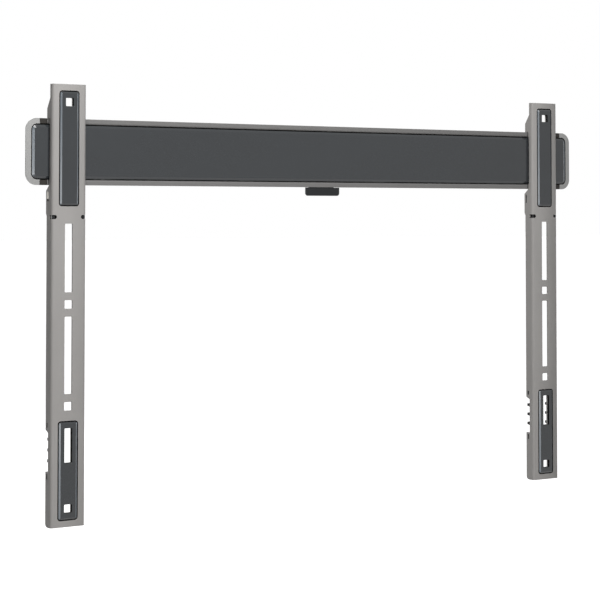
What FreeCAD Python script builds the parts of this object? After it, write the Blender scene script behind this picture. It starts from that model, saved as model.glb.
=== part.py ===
"""Fixed wall bracket for a flat screen.

A folded steel rail is bolted to the wall and closed by a moulded cover and two end caps. Two folded
steel arms are bolted to the screen, hook over the rail's upper lip and are locked behind its lower
lip by sprung latches.

Lengths are in millimetres. X runs along the rail, Y into the wall and Z up. The origin is the centre
of the rail's wall face. An arm is drawn from its own origin: the middle of its front face, at the
height of its top screen hole.
"""
import FreeCAD, Part
import math
import os
import re

import Sketcher

SIZES = {
    "rail_length": (640.5, "folded rail, end to end"),
    "rail_height": (66.0, "lip edge to lip edge"),
    "rail_depth": (22.0, "wall face to lip front"),
    "rail_gauge": (2.0, "sheet of the rail"),
    "rail_bend": (0.6, "inside radius of the rail's bends"),
    "lip_height": (5.4, "lip of the rail"),
    "wall_slope": (0.28, "rise of a side wall for each unit of depth"),
    "wall_slot_width": (9.0, "slot for a wall screw"),
    "wall_slot_length": (24.0, "slot for a wall screw, end to end"),
    "wall_slot_row": (11.0, "height of a row of wall slots above the middle"),
    "wall_slot_near": (90.0, "inner wall slots, from the middle"),
    "wall_slot_far": (250.0, "outer wall slots, from the middle"),
    "cover_past": (16.25, "cover past the rail's end"),
    "cover_gap": (1.05, "line round the cover"),
    "cover_proud": (1.2, "cover in front of the lips"),
    "cover_thick": (3.2, "cover's edge"),
    "cover_skin": (1.8, "cover's front wall"),
    "cover_corner": (5.0, "cover's corner radius"),
    "cover_bevel": (2.4, "width of the cover's bevel"),
    "leg_count": (5, "pairs of snap legs behind the cover"),
    "leg_inset": (104.25, "rail's end to the nearest pair of snap legs"),
    "leg_width": (14.0, "snap leg along the rail"),
    "leg_thick": (1.6, "snap leg"),
    "leg_reach": (10.0, "lip front to the tip of a snap leg"),
    "leg_barb": (2.4, "height of a snap leg's barb along its reach"),
    "snap_gap": (0.3, "room round a snapped part"),
    "cap_past": (22.95, "end cap past the rail's end"),
    "cap_proud": (0.5, "end cap in front of the lips"),
    "cap_plate": (3.9, "end cap's front plate"),
    "cap_corner": (11.5, "end cap's outer corner radius"),
    "cap_slope_width": (4.4, "sloped border of an end cap"),
    "cap_slope_depth": (0.5, "fall of the sloped border"),
    "cap_edge": (0.5, "end cap's edge between its border and its back slope"),
    "cap_back_slope": (2.4, "width of the slope behind the edge"),
    "cap_plug": (22.0, "plug inside the rail"),
    "cap_shell": (1.8, "wall of the plug"),
    "cap_base": (10.2, "end cap past the plug's step"),
    "stop_width": (7.4, "end stop along the rail"),
    "stop_gap": (0.4, "end stop to the rail and to the cap"),
    "tab_width": (42.9, "centre tab"),
    "tab_drop": (9.2, "centre tab below the lip"),
    "tab_thick": (1.7, "centre tab's plate"),
    "tab_proud": (0.6, "centre tab in front of the lip"),
    "tab_neck": (3.2, "height of the neck under the lip"),
    "tab_web": (2.4, "neck behind the lip"),
    "tab_corner": (3.0, "centre tab's lower corners"),
    "tab_bevel": (0.7, "centre tab's front edge"),
    "prong_reach": (12.0, "middle to a prong of the centre tab"),
    "prong_width": (3.4, "prong along the rail"),
    "prong_thick": (3.0, "prong along the depth"),
    "prong_barb": (0.9, "prong's barb"),
    "screen_width": (600.0, "arm to arm, between hole centres"),
    "screen_height": (400.0, "top screen hole to bottom screen hole"),
    "hole_rise": (49.3, "top screen hole above the rail's middle"),
    "arm_above": (17.7, "arm above the top screen hole"),
    "arm_below": (18.0, "arm below the bottom screen hole"),
    "arm_width": (37.0, "folded arm, side to side"),
    "arm_gauge": (2.0, "sheet of the arm"),
    "arm_bend": (0.7, "inside radius of the arm's bends"),
    "arm_stand": (7.3, "lip front to the arm's front face"),
    "hole_side": (8.4, "square screen hole"),
    "hole_corner": (0.9, "corner radius of the screen holes and slots"),
    "second_hole": (200.0, "second square hole below the top one"),
    "third_hole": (100.0, "third square hole above the bottom one"),
    "slot_width": (8.2, "long screen slots"),
    "slot_gap": (12.0, "middle of a square hole to the slot beside it"),
    "upper_slot_drop": (38.1, "lower lip to the upper slot"),
    "pad_slot_top": (78.6, "slot in the lower pad, above the bottom hole"),
    "pad_slot_end": (44.6, "lower end of that slot"),
    "side_top": (4.75, "flange depth at the arm's top"),
    "side_plain": (12.3, "flange depth below the latch"),
    "side_comb": (6.2, "flange depth at the comb"),
    "side_corner": (4.0, "flange's lower corner radius"),
    "ramp_start": (20.3, "top of the upper hook's ramp above the upper lip"),
    "ramp_end": (9.9, "foot of that ramp above the upper lip"),
    "hook_play": (0.5, "hook finger behind the lip"),
    "hook_width": (2.4, "hook finger, front to back"),
    "hook_round": (0.8, "corners of the hook finger"),
    "hook_grip": (3.3, "hook finger down behind the lip"),
    "cover_play": (0.4, "flange in front of the cover"),
    "lead_drop": (5.0, "lead-in under the lower lip"),
    "lead_start": (0.5, "lower lip to the lead-in"),
    "taper_top": (27.7, "lower lip to where the flange starts to narrow"),
    "taper_end": (30.7, "lower lip to where the flange has narrowed"),
    "comb_top": (77.0, "comb cut's upper end, above the bottom hole"),
    "comb_end": (36.1, "comb cut's lower end"),
    "comb_ramp": (2.6, "slanted upper end of the comb cut"),
    "notch_height": (4.0, "notch across each bend"),
    "notch_drop": (31.5, "lower lip to the notches"),
    "notch_bite": (5.6, "notch on the front face, from the arm's side"),
    "notch_depth": (5.0, "notch on the flange, from the front face"),
    "recess_width": (21.7, "pad recess"),
    "recess_depth": (1.8, "pad recess"),
    "recess_corner": (3.2, "pad recess corner radius"),
    "recess_wall": (1.2, "raised back of the recess, outside its outline"),
    "upper_recess_top": (11.4, "upper recess above the top hole"),
    "upper_recess_drop": (21.0, "lower lip to the upper recess's lower end"),
    "lower_recess_top": (85.7, "lower recess, above the bottom hole"),
    "lower_recess_end": (11.8, "lower recess's lower end, below the bottom hole"),
    "pad_gap": (1.15, "line round a pad"),
    "pad_proud": (1.2, "pad in front of the arm"),
    "pad_bevel": (1.6, "width of the pad's bevel"),
    "stud_radius": (2.0, "pad stud"),
    "stud_play": (0.1, "stud in its hole"),
    "upper_stud_high": (30.0, "upper pad's first stud, below the top hole"),
    "upper_stud_low": (70.0, "upper pad's second stud"),
    "lower_stud_high": (40.0, "lower pad's first stud, above the bottom hole"),
    "lower_stud_low": (16.0, "lower pad's second stud"),
    "window_top": (6.6, "lower lip to the latch window"),
    "window_end": (16.1, "lower lip to the latch window's lower end"),
    "window_fore": (2.2, "latch window in front of the latch plate"),
    "window_aft": (0.8, "latch window behind the latch plate"),
    "clip_front": (7.4, "comb clip window's front edge"),
    "clip_back": (9.7, "comb clip window's back edge"),
    "upper_clip_top": (84.0, "upper clip window, above the bottom hole"),
    "upper_clip_end": (79.5, "upper clip window's lower end"),
    "lower_clip_top": (34.0, "lower clip window, above the bottom hole"),
    "lower_clip_end": (28.5, "lower clip window's lower end"),
    "inner_play": (0.3, "moulded part inside the flanges"),
    "clip_play": (0.15, "clip in its window"),
    "clip_sunk": (0.3, "clip below the flange's outer face"),
    "rack_top": (86.5, "comb insert, above the bottom hole"),
    "rack_end": (26.0, "comb insert's lower end"),
    "rack_bar": (6.3, "width of a comb bar"),
    "rack_low": (6.1, "depth of the bar between teeth"),
    "rack_high": (10.6, "depth of the insert's two ends"),
    "rack_bridge_top": (7.5, "upper bridge of the comb insert"),
    "rack_bridge_end": (9.0, "lower bridge of the comb insert"),
    "tooth_count": (3, "teeth on each bar"),
    "tooth_first": (67.6, "first tooth, above the bottom hole"),
    "tooth_pitch": (10.6, "tooth to tooth"),
    "tooth_root": (4.8, "tooth height at its root"),
    "tooth_tip": (2.8, "tooth height at its tip"),
    "tooth_depth": (13.4, "tip of a tooth from the front face"),
    "guide_top": (2.5, "lower lip to the latch guide"),
    "guide_end": (36.2, "lower lip to the guide's lower end"),
    "guide_lip": (1.1, "ledge of the guide behind the latch"),
    "guide_floor": (1.6, "guide's front plate"),
    "guide_side": (1.8, "guide's side walls"),
    "guide_ledge": (2.6, "ledges in front of and behind the latch"),
    "guide_foot": (2.4, "guide's bottom wall"),
    "guide_foot_half": (8.5, "guide's bottom wall, half its width"),
    "snap_sunk": (0.6, "guide's snap in a notch, below the arm's face"),
    "snap_short": (1.1, "guide's snap in a notch, short of the arm's side"),
    "latch_gap": (0.5, "latch plate behind the lower lip"),
    "latch_gauge": (1.6, "latch plate"),
    "latch_cover": (2.5, "flange past the latch plate"),
    "latch_play": (0.2, "latch in its guide"),
    "latch_grip": (2.0, "nose of the latch up behind the lower lip"),
    "latch_nose": (22.0, "width of the nose"),
    "latch_end": (18.7, "lower lip to the latch plate's lower end"),
    "latch_bevel": (3.2, "height of the nose's rear slope"),
    "ear_height": (6.9, "latch ear in its window"),
    "ear_play": (0.2, "ear below the top of its window"),
    "ear_gauge": (1.7, "latch ear"),
    "foot_width": (11.0, "latch foot over the spring"),
    "foot_gap": (0.5, "latch foot behind the guide's plate"),
    "foot_gauge": (2.0, "latch foot"),
    "cord_hole": (1.75, "hole radius for a pull cord"),
    "cord_drop": (3.6, "shoulder of the latch to the pull cord's hole"),
    "spring_radius": (2.0, "spring's mean radius"),
    "spring_wire": (0.35, "spring wire's radius"),
    "spring_turns": (4, "turns of the spring"),
    "spring_play": (0.05, "spring to its seats"),
    "overrun": (1.0, "how far a cut runs past the face that it opens"),
}

SHEET = "Sizes"
FRONT = "-(rail_depth + arm_stand)"
THICK_WALL = "rail_gauge * sqrt(1 + wall_slope ^ 2)"
MOUTH_HALF = "(rail_height / 2 - lip_height)"
COVER_FRONT = "(-rail_depth - cover_proud)"
COVER_BACK = "(-rail_depth - cover_proud + cover_thick)"
COVER_END = "(rail_length / 2 + cover_past)"
CAP_END = "(rail_length / 2 + cap_past)"
LEG_PITCH = "((rail_length - 2 * leg_inset) / (leg_count - 1))"
PRONG_MIDDLE = "(-rail_depth + rail_gauge + tab_web + prong_thick)"


def named(expression):
    """Point every size name in an expression at the spreadsheet."""
    def point(match):
        word = match.group()
        return f"{SHEET}.{word}" if word in SIZES else word
    return re.sub(r"[a-z_]+", point, str(expression))


def value(owner, expression):
    """Work an expression out from the spreadsheet."""
    return float(owner.evalExpression(named(expression)))


def write_sheet(doc):
    """Put the driving sizes in a spreadsheet, one row each."""
    sheet = doc.addObject("Spreadsheet::Sheet", SHEET)
    for row, (alias, (size, note)) in enumerate(SIZES.items(), start=1):
        sheet.set(f"A{row}", alias)
        sheet.set(f"B{row}", str(size))
        sheet.set(f"C{row}", note)
        sheet.setAlias(f"B{row}", alias)
    doc.recompute()


def new_body(doc, label):
    body = doc.addObject("PartDesign::Body", label)
    body.Label = label
    return body


def new_sketch(body, role, name, at="0"):
    """Attach a sketch to one of the body's own planes, at a place along that plane's axis."""
    sketch = body.newObject("Sketcher::SketchObject", name)
    plane = next(item for item in body.Origin.OriginFeatures if item.Role == role)
    sketch.AttachmentSupport = (plane, [""])
    sketch.MapMode = "FlatFace"
    # The XZ plane faces the front, so its offset runs against the Y axis.
    sign = "-1" if role == "XZ_Plane" else "1"
    sketch.setExpression("AttachmentOffset.Base.z", named(f"{sign} * ({at})"))
    return sketch


def bind(sketch, constraint, expression, tag):
    """Add a dimension and tie it to an expression."""
    index = sketch.addConstraint(constraint)
    sketch.renameConstraint(index, tag)
    sketch.setExpression(f"Constraints.{tag}", named(expression))


def place_point(sketch, geometry, point, u, v):
    """Fix a point of a sketch at (u, v)."""
    tag = f"g{geometry}p{point}"
    u_now = value(sketch, u)
    v_now = value(sketch, v)
    bind(sketch, Sketcher.Constraint("DistanceX", geometry, point, u_now), u, tag + "u")
    bind(sketch, Sketcher.Constraint("DistanceY", geometry, point, v_now), v, tag + "v")


def circle(sketch, u, v, radius):
    r_now = value(sketch, radius)
    centre = FreeCAD.Vector(value(sketch, u), value(sketch, v), 0)
    index = sketch.addGeometry(Part.Circle(centre, FreeCAD.Vector(0, 0, 1), r_now))
    place_point(sketch, index, 3, u, v)
    bind(sketch, Sketcher.Constraint("Radius", index, r_now), radius, f"g{index}r")


def arc(sketch, centre, radius, first, last):
    """Draw an arc anticlockwise from one angle to another."""
    ring = Part.Circle(FreeCAD.Vector(centre[0], centre[1], 0), FreeCAD.Vector(0, 0, 1), radius)
    return sketch.addGeometry(Part.ArcOfCircle(ring, first, last))


def outline(sketch, corners):
    """Draw a closed outline through its corners.

    A corner is (u, v) or (u, v, radius). A rounded corner lies between two edges that run along the
    sketch's axes, and its arc is tangent to both.
    """
    count = len(corners)
    now = [(value(sketch, corner[0]), value(sketch, corner[1])) for corner in corners]
    ends = []
    for index, corner in enumerate(corners):
        here = now[index]
        if len(corner) == 2:
            ends.append({"in": here, "out": here})
            continue
        before = now[index - 1]
        after = now[(index + 1) % count]
        radius = value(sketch, corner[2])
        step_in = FreeCAD.Vector(here[0] - before[0], here[1] - before[1], 0).normalize()
        step_out = FreeCAD.Vector(after[0] - here[0], after[1] - here[1], 0).normalize()
        point = FreeCAD.Vector(here[0], here[1], 0)
        enter = point - step_in * radius
        leave = point + step_out * radius
        centre = enter + step_out * radius
        left_turn = step_in.cross(step_out).z > 0
        side_u = 1 if centre.x > here[0] else -1
        side_v = 1 if centre.y > here[1] else -1
        ends.append({
            "in": (enter.x, enter.y), "out": (leave.x, leave.y), "centre": (centre.x, centre.y),
            "radius": radius, "left": left_turn,
            "centre_u": f"({corner[0]}) + {side_u} * ({corner[2]})",
            "centre_v": f"({corner[1]}) + {side_v} * ({corner[2]})",
        })
    lines = []
    for index in range(count):
        start = ends[index]["out"]
        stop = ends[(index + 1) % count]["in"]
        line = Part.LineSegment(FreeCAD.Vector(*start, 0), FreeCAD.Vector(*stop, 0))
        lines.append(sketch.addGeometry(line))
    for index, corner in enumerate(corners):
        line_in = lines[index - 1]
        line_out = lines[index]
        end = ends[index]
        if len(corner) == 2:
            sketch.addConstraint(Sketcher.Constraint("Coincident", line_in, 2, line_out, 1))
            place_point(sketch, line_out, 1, corner[0], corner[1])
            continue
        enter_angle = math.atan2(end["in"][1] - end["centre"][1], end["in"][0] - end["centre"][0])
        leave_angle = math.atan2(end["out"][1] - end["centre"][1], end["out"][0] - end["centre"][0])
        if end["left"]:
            bow = arc(sketch, end["centre"], end["radius"], enter_angle, leave_angle)
            enter_point, leave_point = 1, 2
        else:
            bow = arc(sketch, end["centre"], end["radius"], leave_angle, enter_angle)
            enter_point, leave_point = 2, 1
        sketch.addConstraint(Sketcher.Constraint("Tangent", line_in, 2, bow, enter_point))
        sketch.addConstraint(Sketcher.Constraint("Tangent", bow, leave_point, line_out, 1))
        place_point(sketch, bow, 3, end["centre_u"], end["centre_v"])
        bind(sketch, Sketcher.Constraint("Radius", bow, end["radius"]), corner[2], f"g{bow}r")


def rectangle(u_low, v_low, u_high, v_high, radius=None):
    """Give the corners of a rectangle, rounded if it has a radius."""
    corners = [(u_low, v_low), (u_high, v_low), (u_high, v_high), (u_low, v_high)]
    return [corner + (radius,) for corner in corners] if radius else corners


def centred(u, v, width, height, radius=None):
    """Give the corners of a rectangle from its middle and its size."""
    return rectangle(f"{u} - ({width}) / 2", f"{v} - ({height}) / 2",
                     f"{u} + ({width}) / 2", f"{v} + ({height}) / 2", radius)


def obround(sketch, u, v, length, width):
    """Draw a slot with round ends, lying along the sketch's first axis."""
    radius = f"({width}) / 2"
    reach = f"(({length}) - ({width})) / 2"
    left = (f"({u}) - {reach}", v)
    right = (f"({u}) + {reach}", v)
    r_now = value(sketch, radius)
    left_now = (value(sketch, left[0]), value(sketch, v))
    right_now = (value(sketch, right[0]), value(sketch, v))
    bow_left = arc(sketch, left_now, r_now, math.pi / 2, 3 * math.pi / 2)
    bow_right = arc(sketch, right_now, r_now, -math.pi / 2, math.pi / 2)
    up = FreeCAD.Vector(0, r_now, 0)
    start = FreeCAD.Vector(*left_now, 0)
    stop = FreeCAD.Vector(*right_now, 0)
    low = sketch.addGeometry(Part.LineSegment(start - up, stop - up))
    high = sketch.addGeometry(Part.LineSegment(stop + up, start + up))
    for pair in ((bow_left, 2, low, 1), (low, 2, bow_right, 1), (bow_right, 2, high, 1), (high, 2, bow_left, 1)):
        sketch.addConstraint(Sketcher.Constraint("Tangent", *pair))
    place_point(sketch, bow_left, 3, *left)
    place_point(sketch, bow_right, 3, *right)
    bind(sketch, Sketcher.Constraint("Radius", bow_left, r_now), radius, f"g{bow_left}r")


def extrude(body, kind, role, name, draw, start, stop):
    """Carry a sketch from one place to another along its plane's axis, as a pad or a pocket.

    draw is a list of corners, or a function that draws in the sketch.
    """
    sketch = new_sketch(body, role, name + "_sketch", start)
    if callable(draw):
        draw(sketch)
    else:
        outline(sketch, draw)
    before = body.Shape.Volume if body.Tip else 0.0
    feature = body.newObject(kind, name)
    feature.Profile = sketch
    feature.setExpression("Length", named(f"({stop}) - ({start})"))
    faces_back = role == "XZ_Plane"
    feature.Reversed = faces_back if kind == "PartDesign::Pad" else not faces_back
    body.Document.recompute()
    change = body.Shape.Volume - before
    grew = change > 1e-6
    shrank = change < -1e-6
    if not (grew if kind == "PartDesign::Pad" else shrank):
        raise RuntimeError(f"{body.Label}: {name} changed the volume by {change}")
    return feature


def pad(body, role, name, draw, start, stop):
    return extrude(body, "PartDesign::Pad", role, name, draw, start, stop)


def cut(body, role, name, draw, start, stop):
    return extrude(body, "PartDesign::Pocket", role, name, draw, start, stop)


def dress(body, kind, name, size, test, second=None):
    """Round or bevel every edge that a test picks."""
    base = body.Tip
    picked = [f"Edge{index}" for index, edge in enumerate(base.Shape.Edges, start=1) if test(edge)]
    if not picked:
        raise RuntimeError(f"{body.Label}: {name} found no edge")
    feature = body.newObject(kind, name)
    feature.Base = (base, picked)
    if kind == "PartDesign::Fillet":
        feature.setExpression("Radius", named(size))
    else:
        feature.setExpression("Size", named(size))
    if second:
        feature.ChamferType = "Two distances"
        feature.setExpression("Size2", named(second))
    body.Document.recompute()
    return feature


def near(first, second):
    return abs(first - second) < 1e-4


def spans(edge, axis):
    box = edge.BoundBox
    return {"X": (box.XMin, box.XMax), "Y": (box.YMin, box.YMax), "Z": (box.ZMin, box.ZMax)}[axis]


def in_plane(owner, axis, place):
    """Pick the edges that lie in a plane square to an axis."""
    level = value(owner, place)

    def test(edge):
        low, high = spans(edge, axis)
        return near(low, level) and near(high, level)
    return test


def along(owner, axis, places):
    """Pick the straight edges that run along an axis through any of some places."""
    others = [name for name in "XYZ" if name != axis]
    wanted = [(value(owner, first), value(owner, second)) for first, second in places]

    def test(edge):
        low, high = spans(edge, axis)
        first = spans(edge, others[0])
        second = spans(edge, others[1])
        if high - low < 0.5 or not near(*first) or not near(*second):
            return False
        return any(near(first[0], u) and near(second[0], v) for u, v in wanted)
    return test


def inside_wall(depth):
    """Half height of the rail's hollow, at a depth in front of the wall given as a Y."""
    return f"({MOUTH_HALF} - wall_slope * (({depth}) + rail_depth))"


def leg_places(owner):
    """Middles of the cover's snap legs along the rail."""
    count = int(value(owner, "leg_count"))
    return [f"({index} - (leg_count - 1) / 2) * {LEG_PITCH}" for index in range(count)]


def wall_rail(doc):
    """Hat section with sloping side walls and two lips, slotted for the wall screws."""
    body = new_body(doc, "wall_rail")
    lip_back = "-rail_depth + rail_gauge"
    web_front = "-rail_gauge"
    outer_root = f"{inside_wall('0')} + {THICK_WALL}"
    outer_lip = f"{inside_wall(lip_back)} + {THICK_WALL}"
    inner_root = inside_wall(web_front)
    upper = [
        ("0", outer_root), (lip_back, outer_lip), (lip_back, "rail_height / 2"),
        ("-rail_depth", "rail_height / 2"), ("-rail_depth", MOUTH_HALF), (web_front, inner_root),
    ]
    lower = [(depth, f"-({level})") for depth, level in reversed(upper)]
    pad(body, "YZ_Plane", "section", upper + lower, "-rail_length / 2", "rail_length / 2")
    inside = [(lip_back, outer_lip), (web_front, inner_root)]
    outside = [("-rail_depth", MOUTH_HALF), ("0", outer_root)]
    for name, bends, radius in (("inner_bends", inside, "rail_bend"),
                                ("outer_bends", outside, "rail_bend + rail_gauge")):
        both = bends + [(depth, f"-({level})") for depth, level in bends]
        dress(body, "PartDesign::Fillet", name, radius, along(body, "X", both))

    def slots(sketch):
        for u in ("-wall_slot_far", "-wall_slot_near", "wall_slot_near", "wall_slot_far"):
            for v in ("-wall_slot_row", "wall_slot_row"):
                obround(sketch, u, v, "wall_slot_length", "wall_slot_width")
    cut(body, "XZ_Plane", "wall_slots", slots, "-rail_gauge - overrun", "overrun")

    def windows(sketch):
        for u in leg_places(sketch):
            outline(sketch, rectangle(
                f"{u} - leg_width / 2 - snap_gap", "-rail_depth + leg_reach - leg_barb - snap_gap",
                f"{u} + leg_width / 2 + snap_gap", "-rail_depth + leg_reach + snap_gap"))
    cut(body, "XY_Plane", "cover_windows", windows, "-rail_height / 2", "rail_height / 2")

    def prong_slots(sketch):
        for side in (-1, 1):
            outline(sketch, centred(
                f"{side} * prong_reach", PRONG_MIDDLE, "prong_width + 2 * snap_gap",
                "prong_thick + 2 * snap_gap"))
    cut(body, "XY_Plane", "tab_slots", prong_slots, "-rail_height / 2", "0")
    return body


def rail_cover(doc):
    """Moulded cover: a bevelled tray with pairs of snap legs that reach into the rail's windows."""
    body = new_body(doc, "rail_cover")
    length = f"2 * {COVER_END}"
    height = f"2 * {MOUTH_HALF} - 2 * cover_gap"
    pad(body, "XZ_Plane", "slab", centred("0", "0", length, height, "cover_corner"),
        COVER_FRONT, COVER_BACK)
    dress(body, "PartDesign::Chamfer", "bevel", "cover_proud", in_plane(body, "Y", COVER_FRONT), "cover_bevel")
    hollow = centred("0", "0", f"{length} - 2 * cover_bevel", f"{height} - 2 * cover_bevel",
                     "cover_corner - cover_bevel")
    cut(body, "XZ_Plane", "hollow", hollow, f"{COVER_FRONT} + cover_skin", COVER_BACK)
    tip = "-rail_depth + leg_reach"
    barb = f"{tip} - leg_barb"
    outer = f"{inside_wall(tip)} - snap_gap"
    inner = f"{outer} - leg_thick"
    root = f"{COVER_FRONT} + cover_skin"
    catch = f"{inside_wall(barb)} + {THICK_WALL} / 2"
    profile = [(root, inner), (root, outer), (barb, outer), (barb, catch), (tip, outer), (tip, inner)]
    mirrored = [(depth, f"-({level})") for depth, level in reversed(profile)]
    first = leg_places(body)[0]

    def legs(sketch):
        outline(sketch, profile)
        outline(sketch, mirrored)
    pair = pad(body, "YZ_Plane", "legs", legs, f"{first} - leg_width / 2", f"{first} + leg_width / 2")
    row = body.newObject("PartDesign::LinearPattern", "leg_row")
    row.Originals = [pair]
    axis = next(item for item in body.Origin.OriginFeatures if item.Role == "X_Axis")
    row.Direction = (axis, [""])
    row.setExpression("Length", named(f"{LEG_PITCH} * (leg_count - 1)"))
    row.setExpression("Occurrences", named("leg_count"))
    body.Tip = row
    doc.recompute()
    return body


def end_cap(doc, label):
    """Moulded cap with a sloping border, a seat for the cover's end and a hollow plug in the rail."""
    body = new_body(doc, label)
    inner = "(rail_length / 2 + 2 * stop_gap + stop_width)"
    front = "(-rail_depth - cap_proud)"
    back = f"({front} + cap_plate)"
    plate = [
        (inner, "-rail_height / 2"), (CAP_END, "-rail_height / 2", "cap_corner"),
        (CAP_END, "rail_height / 2", "cap_corner"), (inner, "rail_height / 2"),
    ]
    pad(body, "XZ_Plane", "plate", plate, front, back)
    rim_u = value(body, inner)

    def rim(level):
        in_level = in_plane(body, "Y", level)

        def test(edge):
            low, high = spans(edge, "X")
            return in_level(edge) and not (near(low, rim_u) and near(high, rim_u))
        return test
    dress(body, "PartDesign::Chamfer", "border", "cap_slope_depth", rim(front), "cap_slope_width")
    dress(body, "PartDesign::Chamfer", "back_slope", "cap_back_slope", rim(back),
          "cap_plate - cap_slope_depth - cap_edge")
    seat_end = f"{COVER_END} + cover_gap"
    seat = [
        (f"{inner} - overrun", f"-{MOUTH_HALF}"), (seat_end, f"-{MOUTH_HALF}", "cover_corner + cover_gap"),
        (seat_end, MOUTH_HALF, "cover_corner + cover_gap"), (f"{inner} - overrun", MOUTH_HALF),
    ]
    cut(body, "XZ_Plane", "seat", seat, f"{front} - overrun", COVER_BACK)
    tail = "-rail_gauge - snap_gap"
    plug_end = f"{CAP_END} - cap_base"
    for name, build, wall, stop in (("plug", pad, "snap_gap", plug_end),
                                    ("plug_hollow", cut, "snap_gap + cap_shell", f"{plug_end} - cap_shell")):
        near_side = back if build is pad else f"{back} + cap_shell"
        far_side = tail if build is pad else f"{tail} - cap_shell"
        near_half = f"({inside_wall(near_side)} - ({wall}))"
        far_half = f"({inside_wall(far_side)} - ({wall}))"
        profile = [(near_side, near_half), (near_side, f"-{near_half}"), (far_side, f"-{far_half}"),
                   (far_side, far_half)]
        build(body, "YZ_Plane", name, profile, "rail_length / 2 - cap_plug", stop)
    return body


def end_stop(doc, label):
    """Dark stop between a lip's end and the cap, bridged behind the cover."""
    body = new_body(doc, label)
    back = "-rail_depth - cap_proud + cap_plate"
    inner = f"{MOUTH_HALF} + snap_gap"
    profile = [
        ("-rail_depth", "rail_height / 2"), (back, "rail_height / 2"), (back, "-rail_height / 2"),
        ("-rail_depth", "-rail_height / 2"), ("-rail_depth", f"-({inner})"), (COVER_BACK, f"-({inner})"),
        (COVER_BACK, inner), ("-rail_depth", inner),
    ]
    start = "rail_length / 2 + stop_gap"
    pad(body, "YZ_Plane", "stop", profile, start, f"{start} + stop_width")
    return body


def centre_tab(doc):
    """Moulded tab under the middle of the rail: a plate, a neck round the lip and two barbed prongs."""
    body = new_body(doc, "centre_tab")
    front = "(-rail_depth - tab_proud)"
    back = f"({front} + tab_thick)"
    low = "(-rail_height / 2 - tab_drop)"
    under_lip = "(-rail_height / 2 - snap_gap)"
    plate = [("-tab_width / 2", low, "tab_corner"), ("tab_width / 2", low, "tab_corner"),
             ("tab_width / 2", under_lip), ("-tab_width / 2", under_lip)]
    pad(body, "XZ_Plane", "plate", plate, front, back)
    dress(body, "PartDesign::Chamfer", "edge", "tab_bevel", in_plane(body, "Y", front))
    behind_lip = "(-rail_depth + rail_gauge)"
    web_back = f"({behind_lip} + tab_web)"
    top = f"(-({inside_wall(behind_lip)} + {THICK_WALL} + rail_bend + snap_gap))"
    neck = [
        (back, f"{under_lip} - tab_neck"), (web_back, f"{under_lip} - tab_neck"), (web_back, top),
        (behind_lip, top), (behind_lip, under_lip), (back, under_lip),
    ]
    reach = "(prong_reach + prong_width)"
    pad(body, "YZ_Plane", "neck", neck, f"-{reach}", reach)
    base_back = f"({PRONG_MIDDLE} + prong_thick / 2)"
    pad(body, "XZ_Plane", "base", rectangle(
        f"-{reach}", f"{top} - 2 * prong_thick / 3", reach, top), web_back, base_back)
    for side in (-1, 1):
        stem_in = f"{side} * (prong_reach - prong_width / 2)"
        stem_out = f"{side} * (prong_reach + prong_width / 2)"
        barb_out = f"{side} * (prong_reach + prong_width / 2 + prong_barb)"
        shoulder = f"-({inside_wall(base_back)} - snap_gap)"
        tip = f"{shoulder} + 3 * prong_barb"
        arrow = [(stem_in, top), (stem_out, top), (stem_out, shoulder), (barb_out, shoulder),
                 (stem_out, tip), (stem_in, tip)]
        name = "prong_left" if side < 0 else "prong_right"
        pad(body, "XZ_Plane", name, arrow, f"{base_back} - prong_thick", base_back)
    return body


def place_on_arm(body, side):
    """Move a piece from its arm's own origin to its place on the screen."""
    body.setExpression("Placement.Base.x", named(f"{side} * screen_width / 2"))
    body.setExpression("Placement.Base.y", named(FRONT))
    body.setExpression("Placement.Base.z", named("hole_rise"))
    return body


LIP_TOP = "(rail_height / 2 - hole_rise)"
LIP_LOW = "(-rail_height / 2 - hole_rise)"
MOUTH_TOP = f"({MOUTH_HALF} - hole_rise)"
MOUTH_LOW = f"(-{MOUTH_HALF} - hole_rise)"
ARM_TOP = "arm_above"
BOTTOM_HOLE = "(-screen_height)"
ARM_LOW = f"({BOTTOM_HOLE} - arm_below)"
INNER_HALF = "(arm_width / 2 - arm_gauge)"
BEND_CLEAR = "(arm_width / 2 - arm_gauge - arm_bend - clip_play)"
THIRD_HOLE = f"({BOTTOM_HOLE} + third_hole)"
SQUARE_HOLES = ("0", "-second_hole", THIRD_HOLE, BOTTOM_HOLE)
PAD_SLOT = (f"{BOTTOM_HOLE} + pad_slot_top", f"{BOTTOM_HOLE} + pad_slot_end")
LONG_SLOTS = (
    (f"{LIP_LOW} - upper_slot_drop", "-second_hole + slot_gap"),
    ("-second_hole - slot_gap", f"{THIRD_HOLE} + slot_gap"),
    PAD_SLOT,
)
CLIP_WINDOWS = tuple((f"{BOTTOM_HOLE} + {name}_clip_top", f"{BOTTOM_HOLE} + {name}_clip_end")
                     for name in ("upper", "lower"))
UPPER_PAD_END = f"({LIP_LOW} - upper_recess_drop)"
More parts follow.
